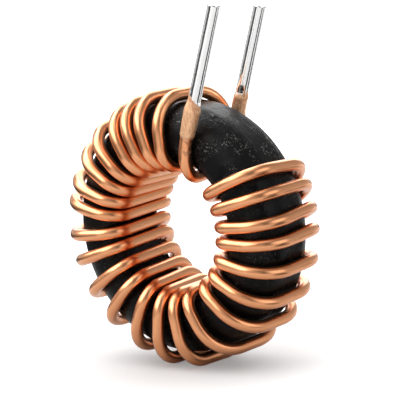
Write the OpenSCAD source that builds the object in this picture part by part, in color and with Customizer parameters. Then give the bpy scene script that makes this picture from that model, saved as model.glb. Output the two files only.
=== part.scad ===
// Toroidal inductor: a coated powder ring with one heavy enamelled copper wire wound round it.
// The ring stands on its edge. Its centre is the origin and its axis lies along Y, with the
// front face towards -Y. Angles go round the ring from +X towards +Z.
// The wire is one bent rod: its centre line runs straight from bend to bend, and its two ends
// are scraped bare and coated with solder.

/* [Core] */
// Bore diameter of the coated ring
core_bore_d = 18.8; // [18.6:0.1:21]
// Thickness of the coated ring from its bore to its rim
core_wall = 7.1; // [6.8:0.1:10]
// Width of the ring from face to face
core_h = 10.7; // [10.2:0.1:16]
// Rounding of the two outer edges
core_outer_edge_r = 3.9; // [3.8:0.1:4.6]
// Rounding of the two bore edges
core_bore_edge_r = 2; // [1.9:0.1:2.6]

/* [Wire] */
// Diameter of the enamelled wire
wire_d = 1.65; // [1.2:0.05:1.65]
// Gap between the wire and the rim and faces of the ring
wire_gap = 0.12; // [0.12:0.02:0.5]
// Gap between the wire and the bore of the ring
bore_gap = 0.22; // [0.18:0.02:0.26]
// Bend radius of the wire's centre line round the outer edges
outer_bend_r = 4.6; // [3.8:0.1:4.8]
// The same on the two lowest turns, which are bent tighter so that the ring stands on them
standing_bend_r = 3.9; // [3.4:0.1:4.4]
// Bend radius of the wire's centre line round the bore edges
inner_bend_r = 3; // [2:0.1:3.2]

/* [Front lead] */
// Length that climbs the front face before the lead leans over
front_climb = 4.4; // [4:0.1:8]
// Lean of that length from upright, towards +X
front_climb_lean = 3; // [-10:0.5:12]
// Lean of the free lead from upright, towards +X
front_lean = 19.8; // [0:0.1:30]
// Bend radius of the centre line between the two
front_bend_r = 8; // [3:0.5:12]
// Enamelled length after that bend
front_enamel = 0.6; // [0.2:0.1:4]
// Length scraped bare of its enamel
front_strip = 4.7; // [2:0.1:8]
// Largest diameter of the scraped length, which swells towards the solder
front_strip_d = 2.2; // [1.75:0.05:2.4]
// Length over which the scraped wire narrows again to the solder
front_shoulder = 1.4; // [0.3:0.1:1.5]
// Length that is coated with solder
front_tin = 12.9; // [6:0.1:30]

/* [Rear lead] */
// Length that climbs the rear face before the lead leans over
rear_climb = 10; // [8:0.1:12]
// Lean of that length from upright, towards +X
rear_climb_lean = -20; // [-21:0.5:-18]
// Lean of the free lead from upright, towards +X
rear_lean = 19.5; // [0:0.1:30]
// Bend radius of the centre line between the two
rear_bend_r = 4; // [2:0.5:6]
// Enamelled length after that bend
rear_enamel = 0.2; // [0.2:0.1:4]
// Length scraped bare of its enamel
rear_strip = 1.7; // [1.6:0.1:8]
// Largest diameter of the scraped length
rear_strip_d = 1.95; // [1.75:0.05:2.4]
// Length over which the scraped wire narrows again to the solder
rear_shoulder = 0.6; // [0.3:0.1:1]
// Length that is coated with solder
rear_tin = 12.1; // [6:0.1:30]

/* [Lead ends] */
// Diameter over the solder
tin_d = 1.7; // [1.3:0.02:1.7]
// Bevel of the cut tips
tip_bevel = 0.12; // [0.05:0.01:0.3]

/* [Hidden] */
$fn = 48;
ring_fn = 144;
copper = "#c9763f";
bare_copper = "#d9a27a";
solder = "#c4c6c8";
coat = "#252528";

core_od = core_bore_d + 2 * core_wall;

// Angle at which each turn crosses the front outer edge, the front bore edge,
// the rear bore edge and the rear outer edge, turn by turn from the front lead on.
// The winding is laid by hand, so the turns bunch and spread. The two lowest turns,
// at 262.5 and 277.5 degrees, lie evenly each side of 270, and the ring stands on them.
front_outer = [88.5, 101.5, 110.5, 118.5, 132.5, 144.5, 158.5, 168, 184, 196.5, 212.5, 228,
    246.5, 262.5, 277.5, 294.5, 314, 328, 343, 356, 365, 378, 389];
front_inner = [82, 93.5, 105, 117, 131, 144.5, 157, 169.5, 183.5, 196.5, 212.5, 229,
    246, 261, 274.5, 288, 309, 325, 339, 354, 367, 381, 395.5];
rear_inner = [80.5, 92.5, 104, 115.5, 128, 140.5, 152, 164.5, 178, 191, 206.5, 222.5,
    236.5, 252.5, 267.5, 286, 303.5, 319, 334.5, 349.5, 362, 375, 390.5];
rear_outer = [85.5, 99.5, 107.5, 116.5, 128.5, 140.5, 154.5, 165.5, 181.5, 195.5, 211.5, 227.5,
    246.5, 262.5, 277.5, 303.5, 318.5, 332.5, 346.5, 360, 369.5, 379, 387];
front_lead_inner = 55.5;
first_rear_inner = 67;
// Place in those lists of the first of the two lowest turns
standing_turn = 13;

// Cylinders and planes that the wire's centre line keeps to
rim_r = core_od / 2 + wire_gap + wire_d / 2;
bore_r = core_bore_d / 2 - bore_gap - wire_d / 2;
face_y = core_h / 2 + wire_gap + wire_d / 2;

// Facets of the bent wire: sides round it, and steps in each right-angled bend
wire_sides = 10;
steps_per_bend = 5;
// The bent wire ends inside each scraped length, which begins a hair thicker
seat = 0.5;
foot_step = 0.04;
lead_foot_d = wire_d + foot_step;

function on_ring(r, angle, y) = [r * cos(angle), y, r * sin(angle)];
function leaning(angle) = [sin(angle), 0, cos(angle)];
function unit(v) = v / norm(v);
function turned(before, after) = acos(before * after);

// Each corner of the wire's route is a point and the radius of the bend there.
// The first and last corners are the tips.
front_foot = on_ring(bore_r, front_lead_inner, -face_y);
front_knee = front_foot + front_climb * leaning(front_climb_lean);
front_cut = front_bend_r * tan((front_lean - front_climb_lean) / 2);
front_tip = front_knee + (front_cut + front_enamel + front_strip + front_tin) * leaning(front_lean);

last = len(front_outer) - 1;
rear_foot = on_ring(bore_r, rear_inner[last], face_y);
rear_knee = rear_foot + rear_climb * leaning(rear_climb_lean);
rear_cut = rear_bend_r * tan((rear_lean - rear_climb_lean) / 2);
rear_tip = rear_knee + (rear_cut + rear_enamel + rear_strip + rear_tin) * leaning(rear_lean);

function rear_start(turn) = turn == 0 ? first_rear_inner : rear_inner[turn - 1];
function stands(turn) = turn == standing_turn || turn == standing_turn + 1;
function rim_bend_r(turn) = stands(turn) ? standing_bend_r : outer_bend_r;
function turn_corners(turn) = [
    [on_ring(bore_r, rear_start(turn), face_y), inner_bend_r],
    [on_ring(rim_r, rear_outer[turn], face_y), rim_bend_r(turn)],
    [on_ring(rim_r, front_outer[turn], -face_y), rim_bend_r(turn)],
    [on_ring(bore_r, front_inner[turn], -face_y), inner_bend_r]];

route = [
    [front_tip, 0],
    [front_knee, front_bend_r],
    [front_foot, inner_bend_r],
    for (turn = [0:last]) each turn_corners(turn),
    [rear_foot, inner_bend_r],
    [rear_knee, rear_bend_r],
    [rear_tip, 0]];
end = len(route) - 1;

function corner(i) = route[i][0];
function bend_r(i) = route[i][1];
function heading(i) = unit(corner(i + 1) - corner(i));
function bend_angle(i) = turned(heading(i - 1), heading(i));
function cut_back(i) = bend_r(i) * tan(bend_angle(i) / 2);

// Point on bend i after its centre line has turned by an angle, and its heading there
function inward(i) = unit(heading(i) - heading(i - 1) * cos(bend_angle(i)));
function bend_centre(i) = corner(i) - heading(i - 1) * cut_back(i) + inward(i) * bend_r(i);
function on_bend(i, a) = bend_centre(i) + bend_r(i) * (heading(i - 1) * sin(a) - inward(i) * cos(a));
function heading_on_bend(i, a) = heading(i - 1) * cos(a) + inward(i) * sin(a);
function bend_steps(i) = max(2, ceil(steps_per_bend * bend_angle(i) / 90));

// The stations of the wire: [point, heading], from inside the front lead to inside the rear one
stations = [
    [front_knee + (front_cut + front_enamel + seat) * leaning(front_lean), heading(0)],
    for (i = [1:end - 1])
        for (step = [0:bend_steps(i)])
            let (a = bend_angle(i) * step / bend_steps(i)) [on_bend(i, a), heading_on_bend(i, a)],
    [rear_knee + (rear_cut + rear_enamel + seat) * leaning(rear_lean), heading(end - 1)]];

// Side directions carried from station to station without twisting round the wire
function carried(side, along) = unit(side - along * (side * along));
sides = [for (i = 0, side = carried([0, 1, 0], stations[0][1]); i < len(stations);
    i = i + 1, side = i < len(stations) ? carried(side, stations[i][1]) : side) side];

function ring_points(point, along, side) = [
    for (k = [0:wire_sides - 1]) let (a = 360 * k / wire_sides)
        point + wire_d / 2 * (side * cos(a) + cross(along, side) * sin(a))];

module bent_wire() {
    rings = len(stations);
    points = [for (i = [0:rings - 1]) each ring_points(stations[i][0], stations[i][1], sides[i])];
    walls = [for (i = [0:rings - 2], k = [0:wire_sides - 1])
        let (a = i * wire_sides, b = a + wire_sides, next = (k + 1) % wire_sides)
        each [[a + k, b + k, b + next], [a + k, b + next, a + next]]];
    first_cap = [for (k = [0:wire_sides - 1]) k];
    last_cap = [for (k = [wire_sides - 1:-1:0]) (rings - 1) * wire_sides + k];
    polyhedron(points, concat(walls, [first_cap, last_cap]), convexity = 10);
}

// Half outline of a lead end, from the end of the last bend at height 0 to the cut tip
module lead_outline(part, enamel, strip, strip_d, shoulder, tin) {
    solder_edge = enamel + strip;
    tip = solder_edge + tin;
    if (part == "strip")
        polygon([[0, enamel], [lead_foot_d / 2, enamel], [strip_d / 2, solder_edge - shoulder],
            [tin_d / 2, solder_edge], [0, solder_edge]]);
    if (part == "tin")
        polygon([[0, solder_edge], [tin_d / 2, solder_edge], [tin_d / 2, tip - tip_bevel],
            [tin_d / 2 - tip_bevel, tip], [0, tip]]);
}

module lead_end(knee, lean, cut, enamel, strip, strip_d, shoulder, tin) {
    up = leaning(lean);
    translate(knee + cut * up) rotate([0, lean, 0]) {
        color(bare_copper) rotate_extrude() lead_outline("strip", enamel, strip, strip_d, shoulder, tin);
        color(solder) rotate_extrude() lead_outline("tin", enamel, strip, strip_d, shoulder, tin);
    }
}

module winding() {
    color(copper) bent_wire();
    lead_end(front_knee, front_lean, front_cut, front_enamel,
        front_strip, front_strip_d, front_shoulder, front_tin);
    lead_end(rear_knee, rear_lean, rear_cut, rear_enamel,
        rear_strip, rear_strip_d, rear_shoulder, rear_tin);
}

// Quarter of a disc that rounds one corner of the section, towards signs x and y
module quarter_disc(r, x, y) {
    intersection() {
        circle(r = r);
        translate([min(x, 0) * r, min(y, 0) * r]) square(r);
    }
}

// Section of the ring, with its radius along X and its width along Y
module core_section() {
    half = core_h / 2;
    outer = core_od / 2 - core_outer_edge_r;
    inner = core_bore_d / 2 + core_bore_edge_r;
    translate([inner, -half]) square([outer - inner, core_h]);
    translate([outer, core_outer_edge_r - half])
        square([core_outer_edge_r, core_h - 2 * core_outer_edge_r]);
    translate([core_bore_d / 2, core_bore_edge_r - half])
        square([core_bore_edge_r, core_h - 2 * core_bore_edge_r]);
    for (side = [-1, 1]) {
        translate([outer, side * (half - core_outer_edge_r)]) quarter_disc(core_outer_edge_r, 1, side);
        translate([inner, side * (half - core_bore_edge_r)]) quarter_disc(core_bore_edge_r, -1, side);
    }
}

module core() {
    color(coat) rotate([90, 0, 0]) rotate_extrude($fn = ring_fn) core_section();
}

core();
winding();
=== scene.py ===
"""Looks of the toroidal inductor: the coated ring, the enamelled wire wound round it and its two
bare, soldered leads, with a plain floor, soft light and the camera."""

import math

import bpy
from mathutils import Matrix, Vector


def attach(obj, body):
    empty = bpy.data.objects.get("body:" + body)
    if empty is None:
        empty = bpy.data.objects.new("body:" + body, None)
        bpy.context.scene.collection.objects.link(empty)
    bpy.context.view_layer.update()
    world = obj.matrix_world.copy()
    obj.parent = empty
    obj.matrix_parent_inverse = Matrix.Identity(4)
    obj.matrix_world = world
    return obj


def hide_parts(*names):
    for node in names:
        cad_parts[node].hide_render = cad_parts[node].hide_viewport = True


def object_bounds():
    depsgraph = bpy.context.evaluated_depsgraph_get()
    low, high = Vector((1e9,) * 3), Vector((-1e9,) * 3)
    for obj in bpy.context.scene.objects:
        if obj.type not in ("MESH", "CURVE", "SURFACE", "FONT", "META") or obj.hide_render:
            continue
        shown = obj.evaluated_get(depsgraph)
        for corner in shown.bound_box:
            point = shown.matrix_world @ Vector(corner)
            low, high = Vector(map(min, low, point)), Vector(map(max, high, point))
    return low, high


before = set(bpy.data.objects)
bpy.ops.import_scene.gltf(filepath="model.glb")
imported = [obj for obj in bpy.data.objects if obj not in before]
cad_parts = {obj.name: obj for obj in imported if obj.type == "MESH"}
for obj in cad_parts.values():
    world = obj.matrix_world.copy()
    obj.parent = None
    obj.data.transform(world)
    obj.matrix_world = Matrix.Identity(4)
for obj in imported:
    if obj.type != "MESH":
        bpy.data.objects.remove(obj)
cad_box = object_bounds()

MM = 0.001

# Ring, over its coat
CORE_OD = 33.0 * MM
CORE_ID = 18.8 * MM
CORE_H = 10.7 * MM
CORE_OUTER_EDGE_R = 3.9 * MM
CORE_BORE_EDGE_R = 2.0 * MM

# Wire and the room that it leaves round the ring
WIRE_D = 1.65 * MM
WIRE_GAP = 0.12 * MM
BORE_GAP = 0.22 * MM
OUTER_BEND_R = 4.6 * MM
STANDING_BEND_R = 3.9 * MM
INNER_BEND_R = 3.0 * MM

# Leads. Each climbs its face of the ring, leans over, and ends scraped bare and soldered. The scraped
# length starts with a collar, and solder_slant is how steeply the solder's edge crosses the lead.
FRONT_LEAD = dict(climb=4.4 * MM, climb_lean=3, lean=19.8, bend_r=8 * MM, enamel=0.6 * MM, strip=4.7 * MM,
                  strip_d=2.2 * MM, shoulder=1.4 * MM, tin=12.9 * MM, solder_slant=0.75)
REAR_LEAD = dict(climb=10 * MM, climb_lean=-20, lean=19.5, bend_r=4 * MM, enamel=0.2 * MM, strip=1.7 * MM,
                 strip_d=1.95 * MM, shoulder=0.6 * MM, tin=12.1 * MM, solder_slant=-0.35)
COLLAR_D = WIRE_D + 0.29 * MM
TIN_D = 1.7 * MM
TIP_BEVEL = 0.12 * MM

# Surface of the coat, of the wire and of its scraped ends
COAT_DIMPLES = 0.06 * MM
WIRE_RIPPLE = 0.02 * MM
SCRAPED_SKIN = 0.14 * MM

# Angle at which each turn crosses the four edges of the ring, in degrees from +X towards +Z
FRONT_OUTER = [88.5, 101.5, 110.5, 118.5, 132.5, 144.5, 158.5, 168, 184, 196.5, 212.5, 228,
               246.5, 262.5, 277.5, 294.5, 314, 328, 343, 356, 365, 378, 389]
FRONT_INNER = [82, 93.5, 105, 117, 131, 144.5, 157, 169.5, 183.5, 196.5, 212.5, 229,
               246, 261, 274.5, 288, 309, 325, 339, 354, 367, 381, 395.5]
REAR_INNER = [80.5, 92.5, 104, 115.5, 128, 140.5, 152, 164.5, 178, 191, 206.5, 222.5,
              236.5, 252.5, 267.5, 286, 303.5, 319, 334.5, 349.5, 362, 375, 390.5]
REAR_OUTER = [85.5, 99.5, 107.5, 116.5, 128.5, 140.5, 154.5, 165.5, 181.5, 195.5, 211.5, 227.5,
              246.5, 262.5, 277.5, 303.5, 318.5, 332.5, 346.5, 360, 369.5, 379, 387]
FRONT_LEAD_INNER = 55.5
FIRST_REAR_INNER = 67
# Middle of the arc without turns
BARE_ARC_MIDDLE = 65
# The two lowest turns, counted from 0, on which the part stands
STANDING_TURNS = (13, 14)

RIM_R = CORE_OD / 2 + WIRE_GAP + WIRE_D / 2
BORE_R = CORE_ID / 2 - BORE_GAP - WIRE_D / 2
FACE_Y = CORE_H / 2 + WIRE_GAP + WIRE_D / 2

# Fineness of the meshes
WIRE_STEP = 0.3 * MM
WIRE_SIDES = 24
LEAD_STEP = 0.12 * MM
LEAD_SIDES = 36
BEND_STEPS = 16
CORE_STEP = 0.35 * MM
CORE_BEND_STEPS = 12
CORE_STEPS_ROUND = 300

# The wire's points hold how far past the start of the solder and of the scraping they are
NOWHERE_NEAR = -20 * MM
SCRAPED_BEFORE_END = 1.2 * MM

# Floor, and the sheets that lie on it
FLOOR_Z = cad_box[0].z
FLOOR_SIZE = 8.0
SHEET_LIFT = 0.5 * MM


# ---------------------------------------------------------------- the wire's route

def on_ring(radius, angle, y):
    """A point at that radius and angle round the ring's axis."""
    a = math.radians(angle)
    return Vector((radius * math.cos(a), y, radius * math.sin(a)))


def leaning(angle):
    """The upright direction, leaned over towards +X."""
    a = math.radians(angle)
    return Vector((math.sin(a), 0, math.cos(a)))


FRONT_FOOT = on_ring(BORE_R, FRONT_LEAD_INNER, -FACE_Y)
REAR_FOOT = on_ring(BORE_R, REAR_INNER[-1], FACE_Y)


def lead_points(foot, lead):
    """The corner where a lead leans over, and the start of its scraped length."""
    knee = foot + lead["climb"] * leaning(lead["climb_lean"])
    cut = lead["bend_r"] * math.tan(math.radians(lead["lean"] - lead["climb_lean"]) / 2)
    return knee, knee + (cut + lead["enamel"]) * leaning(lead["lean"])


def turn_corners(turn):
    """The four corners that one turn makes, from the rear bore edge round to the front bore edge."""
    start = REAR_INNER[turn - 1] if turn else FIRST_REAR_INNER
    rim_bend_r = STANDING_BEND_R if turn in STANDING_TURNS else OUTER_BEND_R
    return [
        (on_ring(BORE_R, start, FACE_Y), INNER_BEND_R),
        (on_ring(RIM_R, REAR_OUTER[turn], FACE_Y), rim_bend_r),
        (on_ring(RIM_R, FRONT_OUTER[turn], -FACE_Y), rim_bend_r),
        (on_ring(BORE_R, FRONT_INNER[turn], -FACE_Y), INNER_BEND_R),
    ]


def wire_route():
    """Corners of the enamelled wire, each with its bend radius, from one scraped length to the other."""
    front_knee, front_end = lead_points(FRONT_FOOT, FRONT_LEAD)
    rear_knee, rear_end = lead_points(REAR_FOOT, REAR_LEAD)
    route = [(front_end, 0), (front_knee, FRONT_LEAD["bend_r"]), (FRONT_FOOT, INNER_BEND_R)]
    for turn in range(len(FRONT_OUTER)):
        route += turn_corners(turn)
    route += [(REAR_FOOT, INNER_BEND_R), (rear_knee, REAR_LEAD["bend_r"]), (rear_end, 0)]
    return route


def lead_end_profile(lead):
    """Height above the start of the scraped length, and diameter there, up to the cut tip."""
    solder = lead["strip"]
    tip = solder + lead["tin"]
    return [
        (0, COLLAR_D),
        (solder - lead["shoulder"], lead["strip_d"]),
        (solder, TIN_D),
        (tip - TIP_BEVEL, TIN_D),
        (tip, TIN_D - 2 * TIP_BEVEL),
    ]


# ---------------------------------------------------------------- building node trees

class Nodes:
    """Builds a node tree from plain parts. Its place is where patterns are read."""

    def __init__(self, tree):
        self.nodes = tree.nodes
        self.links = tree.links
        self.place = None

    def put(self, socket, value):
        """Links an output into a socket, or sets its value."""
        if isinstance(value, bpy.types.NodeSocket):
            self.links.new(value, socket)
        elif isinstance(value, tuple) and socket.type == "RGBA" and len(value) == 3:
            socket.default_value = (*value, 1)
        else:
            socket.default_value = value

    def node(self, kind, settings=None, **inputs):
        """Adds a node. Inputs are given by name, with underscores for spaces, or by _number."""
        made = self.nodes.new(kind)
        for key, value in (settings or {}).items():
            setattr(made, key, value)
        for key, value in inputs.items():
            socket = made.inputs[int(key[1:])] if key[0] == "_" else made.inputs[key.replace("_", " ")]
            self.put(socket, value)
        return made

    def math(self, operation, a, b=0.0):
        """One step of arithmetic."""
        return self.node("ShaderNodeMath", {"operation": operation}, _0=a, _1=b).outputs[0]

    def ramp(self, value, low, high, out_low=0.0, out_high=1.0):
        """Maps a range of one value on to another range, with its ends held."""
        made = self.node("ShaderNodeMapRange", Value=value, _1=low, _2=high, _3=out_low, _4=out_high)
        return made.outputs[0]

    def noise(self, size, detail=2.0, roughness=0.5, stretch=None, vector=None):
        """Noise with features of that size in metres."""
        vector = vector or self.place
        if stretch:
            vector = self.node("ShaderNodeMapping", Vector=vector, Scale=stretch).outputs[0]
        made = self.node("ShaderNodeTexNoise", Vector=vector, Scale=1 / size, Detail=detail,
                         Roughness=roughness)
        return made.outputs[0]


class Growth(Nodes):
    """A geometry node tree that grows a piece along a line whose points hold bend_r."""

    def __init__(self, name, inputs):
        self.tree = bpy.data.node_groups.new(name, "GeometryNodeTree")
        self.tree.is_modifier = True
        super().__init__(self.tree)
        face = self.tree.interface
        face.new_socket("Geometry", in_out="INPUT", socket_type="NodeSocketGeometry")
        common = {"Step": "NodeSocketFloat", "Bend steps": "NodeSocketInt", "Seed": "NodeSocketFloat"}
        for label, kind in {**common, **inputs}.items():
            face.new_socket(label, in_out="INPUT", socket_type=kind)
        face.new_socket("Geometry", in_out="OUTPUT", socket_type="NodeSocketGeometry")
        self.given = self.node("NodeGroupInput").outputs
        position = self.node("GeometryNodeInputPosition").outputs[0]
        self.place = self.node("ShaderNodeVectorMath", {"operation": "ADD"},
                               _0=position, _1=self.given["Seed"]).outputs[0]

    def named(self, key):
        """The number stored on each point under a name."""
        return self.node("GeometryNodeInputNamedAttribute", {"data_type": "FLOAT"}, Name=key).outputs[0]

    def bent_line(self):
        """The given edges as a line in even steps, with a round bend at each corner."""
        line = self.node("GeometryNodeMeshToCurve", Mesh=self.given["Geometry"]).outputs[0]
        bent = self.node("GeometryNodeFilletCurve", {"mode": "POLY"}, Curve=line, Limit_Radius=False,
                         Count=self.given["Bend steps"], Radius=self.named("bend_r")).outputs[0]
        return self.node("GeometryNodeResampleCurve", {"mode": "LENGTH"},
                         Curve=bent, Length=self.given["Step"]).outputs[0]

    def pushed_out(self, surface, distance):
        """Moves each point of a surface outwards by a distance."""
        normal = self.node("GeometryNodeInputNormal").outputs[0]
        offset = self.node("ShaderNodeVectorMath", {"operation": "SCALE"},
                           Vector=normal, Scale=distance).outputs[0]
        return self.node("GeometryNodeSetPosition", Geometry=surface, Offset=offset).outputs[0]

    def finish(self, geometry, material):
        """Ends the tree with plain, smooth geometry in one material."""
        real = self.node("GeometryNodeRealizeInstances", Geometry=geometry).outputs[0]
        smooth = self.node("GeometryNodeSetShadeSmooth", Geometry=real).outputs[0]
        painted = self.node("GeometryNodeSetMaterial", Geometry=smooth, Material=material).outputs[0]
        self.node("NodeGroupOutput", _0=painted)
        return self.tree


def placed(name, data):
    """Puts a mesh, lamp or camera in the scene."""
    thing = bpy.data.objects.new(name, data)
    bpy.context.scene.collection.objects.link(thing)
    return thing


def polyline(name, points, numbers, closed=False):
    """A mesh of edges through the points, with a number for each point under each name given."""
    mesh = bpy.data.meshes.new(name)
    count = len(points)
    edges = [(i, i + 1) for i in range(count - 1)]
    if closed:
        edges.append((count - 1, 0))
    mesh.from_pydata([tuple(p) for p in points], edges, [])
    for key, values in numbers.items():
        attribute = mesh.attributes.new(key, "FLOAT", "POINT")
        attribute.data.foreach_set("value", values)
    return placed(name, mesh)


def grown(line, tree, name, **values):
    """Runs a tree on a line with those input values, and returns its result as a plain mesh."""
    modifier = line.modifiers.new(name, "NODES")
    modifier.node_group = tree
    for item in tree.interface.items_tree:
        key = item.name.replace(" ", "_")
        if item.in_out == "INPUT" and key in values:
            modifier[item.identifier] = values[key]
    graph = bpy.context.evaluated_depsgraph_get()
    mesh = bpy.data.meshes.new_from_object(line.evaluated_get(graph))
    mesh.name = name
    bpy.data.objects.remove(line)
    return placed(name, mesh)


def wire_tree(material):
    """Grows a round wire along a line whose points also hold thickness and past_solder.

    The soldered and scraped lengths get an uneven skin, which thins out past the solder's edge."""
    t = Growth("wire_tube", {
        "Sides": "NodeSocketInt",
        "Skin": "NodeSocketFloat",
        "Ripple": "NodeSocketFloat",
    })
    profile = t.node("GeometryNodeCurvePrimitiveCircle", {"mode": "RADIUS"},
                     Resolution=t.given["Sides"], Radius=0.5).outputs[0]
    tube = t.node("GeometryNodeCurveToMesh", Curve=t.bent_line(), Profile_Curve=profile,
                  Scale=t.named("thickness"), Fill_Caps=True).outputs[0]
    past = t.named("past_solder")
    scraped = t.ramp(past, -6 * MM, -3 * MM)
    thinned = t.ramp(past, 0.0, 2.5 * MM, 1.0, 0.2)
    skin = t.math("MULTIPLY", t.math("MULTIPLY", t.given["Skin"], scraped), thinned)
    lumps = t.math("MULTIPLY", t.math("SUBTRACT", t.noise(1.3 * MM), 0.5), skin)
    ripple = t.math("MULTIPLY", t.math("SUBTRACT", t.noise(5 * MM, detail=1.0), 0.9), t.given["Ripple"])
    return t.finish(t.pushed_out(tube, t.math("ADD", lumps, ripple)), material)


def ring_tree(material):
    """Turns the ring's section round Y and dimples its coat."""
    t = Growth("coated_ring", {
        "Steps round": "NodeSocketInt",
        "Dimples": "NodeSocketFloat",
    })
    circle = t.node("GeometryNodeCurvePrimitiveCircle", {"mode": "RADIUS"},
                    Resolution=t.given["Steps round"], Radius=(CORE_OD + CORE_ID) / 4).outputs[0]
    ring = t.node("GeometryNodeCurveToMesh", Curve=circle, Profile_Curve=t.bent_line(),
                  Fill_Caps=False).outputs[0]
    upright = t.node("GeometryNodeTransform", Geometry=ring, Rotation=(math.pi / 2, 0, 0)).outputs[0]
    fine = t.math("SUBTRACT", t.noise(1.1 * MM), 0.5)
    broad = t.math("SUBTRACT", t.noise(6 * MM, detail=1.0), 0.5)
    dimples = t.math("MULTIPLY", t.math("ADD", fine, broad), t.given["Dimples"])
    return t.finish(t.pushed_out(upright, dimples), material)


# ---------------------------------------------------------------- materials

class Paint(Nodes):
    """A material on Blender's standard shader."""

    def __init__(self, name):
        self.material = bpy.data.materials.new(name)
        self.material.use_nodes = True
        super().__init__(self.material.node_tree)
        self.shader = self.nodes["Principled BSDF"]
        self.place = self.node("ShaderNodeTexCoord").outputs["Object"]

    def set(self, **values):
        """Sets or links inputs of the shader itself."""
        for key, value in values.items():
            self.put(self.shader.inputs[key.replace("_", " ")], value)

    def round_the_ring(self):
        """The place on the ring as length round it, distance from its axis and place across it."""
        parts = self.node("ShaderNodeSeparateXYZ", Vector=self.place).outputs
        angle = self.math("ARCTAN2", parts["Z"], parts["X"])
        flat = self.node("ShaderNodeCombineXYZ", X=parts["X"], Y=0.0, Z=parts["Z"]).outputs[0]
        radius = self.node("ShaderNodeVectorMath", {"operation": "LENGTH"}, _0=flat).outputs["Value"]
        return self.node("ShaderNodeCombineXYZ", X=self.math("MULTIPLY", angle, CORE_OD / 2),
                         Y=radius, Z=parts["Y"]).outputs[0]

    def along(self, key):
        """The number stored on the wire under a name."""
        return self.node("ShaderNodeAttribute", {"attribute_name": key}).outputs["Fac"]

    def uneven_edge(self, noise, depth):
        """How far an edge wanders to and fro, by a noise and a depth in all."""
        return self.math("MULTIPLY", self.math("SUBTRACT", noise, 0.5), depth)

    def mix(self, share, a, b):
        """Between colours a and b by a share."""
        return self.node("ShaderNodeMix", {"data_type": "RGBA"}, Factor=share, _6=a, _7=b).outputs[2]

    def blend(self, share, a, b):
        """Between numbers a and b by a share."""
        return self.node("ShaderNodeMix", {"data_type": "FLOAT"}, Factor=share, _2=a, _3=b).outputs[0]

    def bump(self, height, distance, strength=1.0, under=None):
        """A bump whose full height is a distance in metres."""
        made = self.node("ShaderNodeBump", Height=height, Distance=distance, Strength=strength)
        if under:
            self.put(made.inputs["Normal"], under)
        return made.outputs[0]


COAT_TONES = ((0.001, 0.001, 0.0012), (0.003, 0.003, 0.0028))
WORN_COAT = (0.2, 0.195, 0.185)
ENAMEL_TONES = ((0.86, 0.36, 0.155), (0.92, 0.42, 0.20))
SCRAPED_TONES = ((0.74, 0.36, 0.19), (1.0, 0.67, 0.41))
HEATED_COPPER = (0.74, 0.38, 0.23)
PITTED_COPPER = (0.30, 0.12, 0.07)
# Painted shade: the colour that the start of the scraped length is darkened towards
PAINTED_SHADE_COPPER = (0.62, 0.29, 0.16)
SOLDER_TONES = ((0.92, 0.92, 0.92), (0.97, 0.97, 0.96))
WHITE = (1, 1, 1)


def black_coat():
    """The powder coat of the ring: semi-gloss black, dimpled, with fine specks and rubbed streaks."""
    p = Paint("black_coat")
    along = p.round_the_ring()
    patches = p.noise(4 * MM, detail=4.0)
    peel = p.noise(0.7 * MM, detail=3.0)
    pits = p.noise(0.25 * MM, detail=2.0)
    specks = p.ramp(p.noise(0.22 * MM, detail=3.0), 0.6, 0.69)
    streaks = p.ramp(p.noise(0.22 * MM, detail=3.0, vector=along, stretch=(0.3, 1, 1)), 0.61, 0.69)
    worn_area = p.ramp(p.noise(3.5 * MM, detail=2.0), 0.5, 0.62)
    rubbed_area = p.ramp(p.noise(5 * MM, detail=2.0, vector=along, stretch=(0.5, 1, 1)), 0.5, 0.6)

    # Most of the wear is on the arc without turns, and less of it under the wire
    arc = p.node("ShaderNodeSeparateXYZ", Vector=along).outputs["X"]
    off_middle = p.math("ABSOLUTE", p.math("SUBTRACT", arc, math.radians(BARE_ARC_MIDDLE) * CORE_OD / 2))
    exposed = p.ramp(off_middle, 8 * MM, 12 * MM, 1.0, 0.3)
    worn = p.math("MULTIPLY", p.math("MAXIMUM", specks, streaks), p.math("MULTIPLY", worn_area, exposed))

    surface = p.bump(peel, 0.06 * MM)
    surface = p.bump(pits, 0.02 * MM, under=surface)
    surface = p.bump(streaks, 0.02 * MM, under=surface)
    gloss = p.ramp(patches, 0.3, 0.7, 0.24, 0.36)
    p.set(Base_Color=p.mix(worn, p.mix(patches, *COAT_TONES), WORN_COAT),
          Roughness=p.blend(rubbed_area, gloss, 0.5),
          Specular_IOR_Level=0.14,
          Normal=surface)
    return p.material


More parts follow.
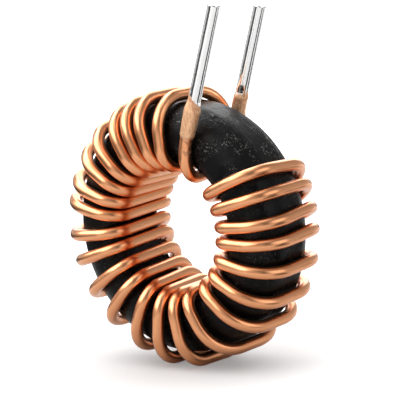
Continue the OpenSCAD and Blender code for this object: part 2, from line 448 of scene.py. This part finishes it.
def wire_finish():
    """Copper under clear enamel, then scraped copper, then solder, by the place along the wire."""
    p = Paint("copper_wire")
    past_solder = p.along("past_solder")
    past_scrape = p.along("past_scrape")
    solder_edge = p.math("ADD", past_solder, p.uneven_edge(p.noise(0.7 * MM, detail=3.0), 1.4 * MM))
    soldered = p.ramp(solder_edge, -0.06 * MM, 0.06 * MM)
    scrape_edge = p.math("ADD", past_scrape, p.uneven_edge(p.noise(0.5 * MM, detail=5.0), 3.4 * MM))
    bare = p.ramp(scrape_edge, -0.1 * MM, 0.1 * MM)

    # Scraped copper, scratched lengthwise, blotched by the heat next to the solder, and darkened at its start
    # by painted shade
    scratches = p.noise(0.3 * MM, detail=5.0, roughness=0.75, stretch=(1, 1, 0.2))
    matt = p.mix(p.ramp(scratches, 0.34, 0.56), *SCRAPED_TONES)
    blotches = p.ramp(p.noise(0.7 * MM, detail=4.0), 0.42, 0.6)
    heated = p.mix(blotches, matt, HEATED_COPPER)
    scraped = p.mix(p.ramp(past_solder, -2.4 * MM, -0.4 * MM), matt, heated)
    pits = p.ramp(p.noise(0.35 * MM, detail=3.0), 0.62, 0.7)
    scraped = p.mix(p.math("MULTIPLY", pits, 0.6), scraped, PITTED_COPPER)
    # Painted shade: over its first 1.2 mm the scraped length fades from this shaded copper into the scraped
    # copper
    scraped = p.mix(p.ramp(past_scrape, 0.0, 1.2 * MM), PAINTED_SHADE_COPPER, scraped)
    scraped_roughness = p.ramp(scratches, 0.3, 0.7, 0.64, 0.48)

    enamel = p.mix(p.noise(3 * MM, detail=2.0), *ENAMEL_TONES)
    solder = p.mix(p.noise(1.5 * MM), *SOLDER_TONES)
    enamelled = p.math("SUBTRACT", 1.0, p.math("MAXIMUM", bare, soldered))
    grain = p.bump(p.noise(0.2 * MM, detail=3.0), 0.004 * MM)
    p.set(Metallic=1.0,
          Base_Color=p.mix(soldered, p.mix(bare, enamel, scraped), solder),
          Roughness=p.blend(soldered, p.blend(bare, 0.28, scraped_roughness), 0.11),
          Coat_Weight=p.math("MULTIPLY", 0.5, enamelled),
          Coat_Roughness=0.2,
          Coat_IOR=1.5,
          Normal=p.bump(scratches, 0.05 * MM, strength=p.math("SUBTRACT", bare, soldered), under=grain))
    return p.material


# ---------------------------------------------------------------- pieces

def make_core():
    """The coated ring."""
    half_width = CORE_H / 2
    middle = (CORE_OD + CORE_ID) / 4
    inner = CORE_ID / 2 - middle
    outer = CORE_OD / 2 - middle
    section = [
        (inner, -half_width, 0),
        (outer, -half_width, 0),
        (outer, half_width, 0),
        (inner, half_width, 0),
    ]
    edges = [CORE_BORE_EDGE_R, CORE_OUTER_EDGE_R, CORE_OUTER_EDGE_R, CORE_BORE_EDGE_R]
    line = polyline("core_section", section, {"bend_r": edges}, closed=True)
    piece = grown(line, ring_tree(black_coat()), "ring_core", Step=CORE_STEP, Bend_steps=CORE_BEND_STEPS,
                  Steps_round=CORE_STEPS_ROUND, Dimples=COAT_DIMPLES, Seed=0.0)
    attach(piece, "root")
    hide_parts("core")


def grow_turns(tree):
    """The enamelled wire, from one scraped length to the other."""
    route = wire_route()
    thickness = [WIRE_D] * len(route)
    thickness[0] = thickness[-2] = thickness[-1] = COLLAR_D
    # The scraping starts just above the knee of the front lead, and just below the knee of the rear one
    past_scrape = [NOWHERE_NEAR] * len(route)
    past_scrape[0] = past_scrape[-1] = SCRAPED_BEFORE_END
    past_scrape[1] = -0.15 * MM
    past_scrape[-2] = 1.0 * MM
    past_scrape[-3] = -5 * MM
    line = polyline("turns_line", [point for point, bend_r in route], {
        "bend_r": [bend_r for point, bend_r in route],
        "thickness": thickness,
        "past_solder": [NOWHERE_NEAR] * len(route),
        "past_scrape": past_scrape,
    })
    return grown(line, tree, "winding_turns", Step=WIRE_STEP, Sides=WIRE_SIDES, Bend_steps=BEND_STEPS,
                 Skin=0.0, Ripple=WIRE_RIPPLE, Seed=0.0)


def grow_lead_end(tree, name, foot, lead):
    """The scraped and soldered end of a lead."""
    _, start = lead_points(foot, lead)
    up = leaning(lead["lean"])
    profile = lead_end_profile(lead)
    line = polyline(name + "_line", [start + up * height for height, diameter in profile], {
        "bend_r": [0.0] * len(profile),
        "thickness": [diameter for height, diameter in profile],
        "past_solder": [height - lead["strip"] for height, diameter in profile],
        "past_scrape": [height + SCRAPED_BEFORE_END for height, diameter in profile],
    })
    piece = grown(line, tree, name, Step=LEAD_STEP, Sides=LEAD_SIDES, Bend_steps=1,
                  Skin=SCRAPED_SKIN, Ripple=WIRE_RIPPLE, Seed=0.0)

    # A positive slant lets the solder reach farther down the side that faces +X and +Y
    side = Vector((1, 1, 0))
    side = (side - up * side.dot(up)).normalized()
    stored = piece.data.attributes["past_solder"].data
    for vertex in piece.data.vertices:
        stored[vertex.index].value += lead["solder_slant"] * (vertex.co - start).dot(side)
    return piece


def make_winding():
    """The enamelled turns and the two bare lead ends."""
    tree = wire_tree(wire_finish())
    pieces = [
        grow_turns(tree),
        grow_lead_end(tree, "front_lead_end", FRONT_FOOT, FRONT_LEAD),
        grow_lead_end(tree, "rear_lead_end", REAR_FOOT, REAR_LEAD),
    ]
    for piece in pieces:
        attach(piece, "root")
        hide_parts("winding")


# ---------------------------------------------------------------- floor, light and camera

def one_face(name, corners, material):
    """A flat, four-cornered sheet."""
    mesh = bpy.data.meshes.new(name)
    mesh.from_pydata([tuple(corner) for corner in corners], [], [(0, 1, 2, 3)])
    mesh.materials.append(material)
    return placed(name, mesh)


def make_floor():
    """A wide white floor that keeps the shadow of the part."""
    p = Paint("white_floor")
    reach = p.node("ShaderNodeVectorMath", {"operation": "LENGTH"}, _0=p.place).outputs["Value"]
    rays = p.node("ShaderNodeLightPath").outputs
    mirrored = p.math("MAXIMUM", rays["Is Glossy Ray"], rays["Is Transmission Ray"])
    seen_glow = p.math("MULTIPLY", rays["Is Camera Ray"], p.ramp(reach, 0.01, 0.055, 0.08, 1.0))
    mirrored_glow = p.math("MULTIPLY", mirrored, p.ramp(reach, 0.03, 0.2, 0.0, 0.4))
    p.set(Base_Color=(0.64, 0.64, 0.64), Roughness=0.6, Specular_IOR_Level=0.2, Emission_Color=WHITE,
          Emission_Strength=p.math("ADD", seen_glow, mirrored_glow))
    half = FLOOR_SIZE / 2
    corners = [(-half, -half, FLOOR_Z), (half, -half, FLOOR_Z), (half, half, FLOOR_Z), (-half, half, FLOOR_Z)]
    floor = one_face("floor", corners, p.material)


def make_world():
    """A soft surround, brightest near the floor."""
    world = bpy.data.worlds.new("studio")
    bpy.context.scene.world = world
    world.use_nodes = True
    w = Nodes(world.node_tree)
    direction = w.node("ShaderNodeTexCoord").outputs["Generated"]
    height = w.node("ShaderNodeSeparateXYZ", Vector=direction).outputs["Z"]
    sky = w.nodes["Background"]
    w.put(sky.inputs["Color"], WHITE)
    w.put(sky.inputs["Strength"], w.ramp(height, 0.0, 0.9, 0.62, 0.26))


def facing_part(azimuth, elevation, distance):
    """Place of what faces the part: azimuth from -Y towards +X, elevation above the floor."""
    a = math.radians(azimuth)
    e = math.radians(elevation)
    away = Vector((math.sin(a) * math.cos(e), -math.cos(a) * math.cos(e), math.sin(e)))
    return Matrix.Translation(away * distance) @ away.to_track_quat("Z", "Y").to_matrix().to_4x4()


def softbox(name, azimuth, elevation, distance, width, height, power, mirrored=True, lights_floor=True):
    """A soft lamp that faces the part."""
    data = bpy.data.lights.new(name, "AREA")
    data.shape = "RECTANGLE"
    data.size = width
    data.size_y = height
    data.energy = power
    lamp = placed(name, data)
    lamp.matrix_world = facing_part(azimuth, elevation, distance)
    lamp.visible_glossy = mirrored
    lamp.visible_diffuse = lights_floor


def reflected_only(name, corners, shade):
    """A flat dark shape that only shows in reflections."""
    p = Paint(name)
    p.set(Base_Color=(shade, shade, shade), Roughness=1.0)
    card = one_face(name, corners, p.material)
    card.visible_camera = False
    card.visible_diffuse = False
    card.visible_shadow = False


def dark_card(name, azimuth, elevation, distance, width, height, shade):
    """A dark card that faces the part, as beside a camera."""
    place = facing_part(azimuth, elevation, distance)
    corners = [(-width, -height, 0), (width, -height, 0), (width, height, 0), (-width, height, 0)]
    reflected_only(name, [place @ (Vector(corner) / 2) for corner in corners], shade)


def dark_sheet(name, x0, x1, y0, y1, shade):
    """A dark sheet on the floor."""
    z = FLOOR_Z + SHEET_LIFT
    reflected_only(name, [(x0, y0, z), (x1, y0, z), (x1, y1, z), (x0, y1, z)], shade)


def make_camera():
    """The camera, a little above the floor and to the right of the ring's axis, leaning slightly."""
    data = bpy.data.cameras.new("camera")
    data.sensor_width = 36
    data.lens = 224.4
    data.shift_x = 0.0195
    data.shift_y = 0.06125
    data.clip_start = 0.01
    back = Vector((0.6323, -0.7587, 0.1565)).normalized()
    up = Vector((-0.0420, 0.1682, 0.9848))
    right = up.cross(back).normalized()
    turn = Matrix((right, back.cross(right), back)).transposed().to_4x4()
    camera = placed("camera", data)
    camera.matrix_world = Matrix.Translation(back * 327.6 * MM) @ turn
    bpy.context.scene.camera = camera


make_camera()
make_core()
make_winding()
make_floor()
make_world()
softbox("left_softbox", -40, 43, 0.6, 0.85, 0.45, 3.9, lights_floor=False)
softbox("right_softbox", 88, 24, 0.6, 0.4, 0.45, 0.56, lights_floor=False)
softbox("top_softbox", 0, 78, 0.6, 0.4, 0.3, 0.4)
softbox("high_softbox", -105, 64, 0.6, 0.35, 0.35, 1.7, lights_floor=False)
softbox("back_panel", -146, 32, 0.6, 0.5, 0.5, 1.6, lights_floor=False)
softbox("overhead_lamp", -140, 84, 0.7, 1.3, 1.3, 8.5, mirrored=False)
dark_card("camera_card", 52, 22, 0.5, 0.13, 0.4, 0.01)
dark_sheet("left_sheet", -3.5, -0.06, -2.5, 1.2, 0.01)
dark_sheet("right_sheet", 0.15, 3.5, -0.2, 3.0, 0.01)
dark_sheet("side_strip", 0.035, 0.14, -0.012, 0.014, 0.01)
dark_sheet("rear_strip", 0.034, 0.07, 0.034, 0.066, 0.02)

bpy.context.scene.view_settings.view_transform = "Standard"
